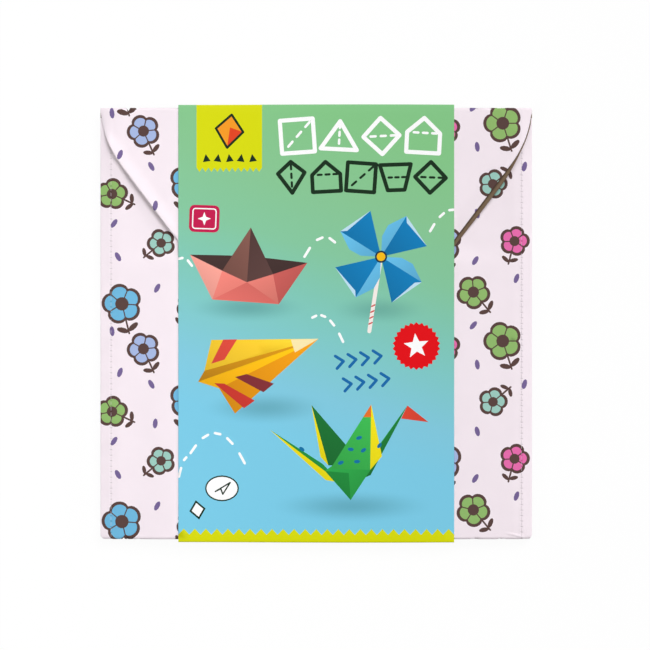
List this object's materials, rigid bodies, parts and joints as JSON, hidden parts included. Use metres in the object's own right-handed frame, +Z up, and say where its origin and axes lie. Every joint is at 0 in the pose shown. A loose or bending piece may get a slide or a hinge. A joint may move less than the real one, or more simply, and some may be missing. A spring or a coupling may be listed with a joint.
{
  "type": "cloth envelope pouch with card sleeve",
  "caption": "Flat square cloth envelope with a long pointed flap, holding craft paper and a booklet, closed by a wide card sleeve that slides off sideways.",
  "frame": {"origin": "under the middle of the pack, on the surface that it lies on", "axes": "+Z up through the thickness, out of the printed front; +Y from the bottom fold of the cloth to its top fold; +X to the right as the front is read, along which the sleeve slides"},
  "size_m": [0.22, 0.223, 0.0105],
  "materials": {
    "printed_cotton": "plain-woven lined cotton, printed, matt",
    "craft_paper": "uncoated craft paper",
    "booklet_paper": "smooth white booklet paper",
    "printed_card": "coated folding card, printed outside, white inside"
  },
  "bodies": {
    "pouch": {"cloth_pouch": "printed_cotton", "paper_stack": "craft_paper", "instruction_booklet": "booklet_paper"},
    "sleeve": {"card_sleeve": "printed_card"}
  },
  "joints": [
    {"name": "sleeve_slide", "type": "slide", "parent": "pouch", "child": "sleeve", "axis": [1, 0, 0], "range_m": [-0.185, 0.185]}
  ]
}
